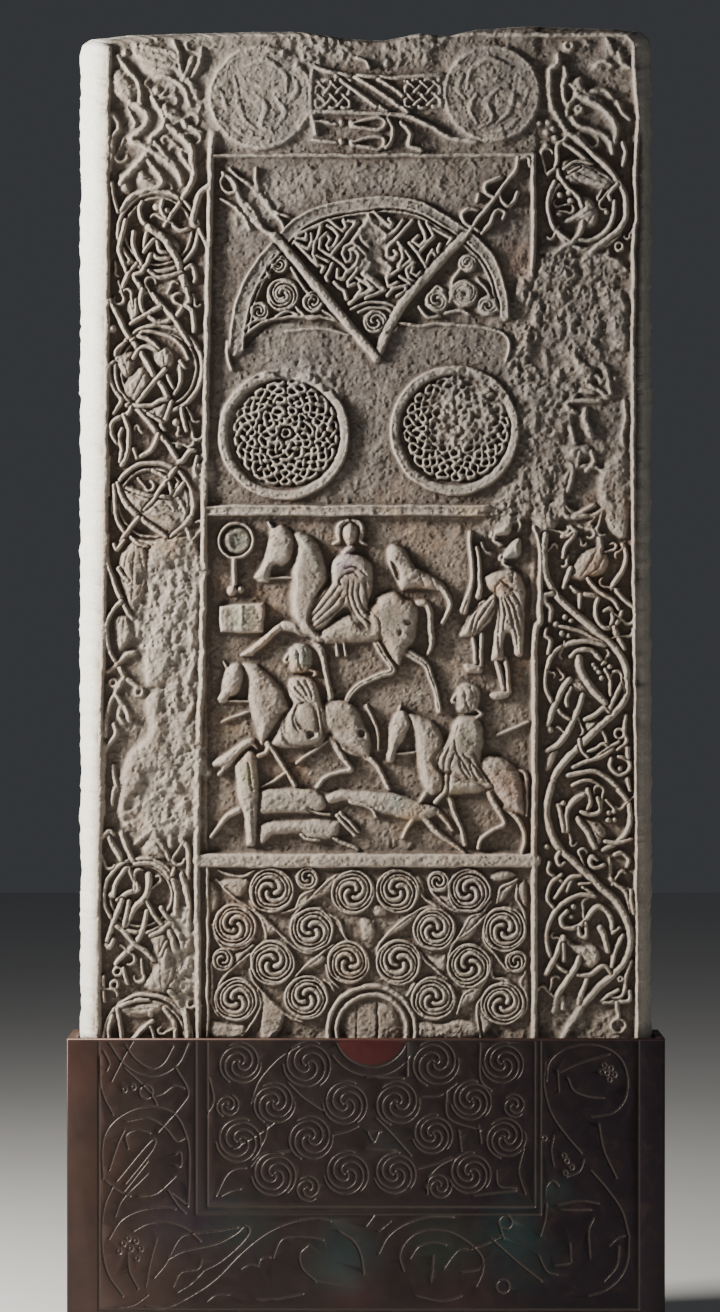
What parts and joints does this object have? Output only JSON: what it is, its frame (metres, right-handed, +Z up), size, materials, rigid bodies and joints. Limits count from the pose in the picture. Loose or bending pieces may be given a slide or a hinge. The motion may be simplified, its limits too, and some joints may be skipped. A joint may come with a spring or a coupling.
{
  "type": "pictish stone",
  "caption": "Upright carved sandstone slab with a hunting scene, crescent, knotwork discs and vine borders, standing in a dark metal-clad base engraved with the lower end of the design.",
  "frame": {"origin": "centre of the base's underside", "axes": "+Z up; +X to the right of someone who faces the carving; -Y out of the carved face"},
  "size_m": [1.418, 0.249, 3.1476],
  "materials": {
    "sandstone": "weathered, light on the raised carving and dark in the sunk ground",
    "patinated_bronze": "dark brown and blue-green patina, brighter in the engraved lines"
  },
  "bodies": {
    "root": {"stone": "sandstone", "base": "patinated_bronze"}
  },
  "joints": []
}
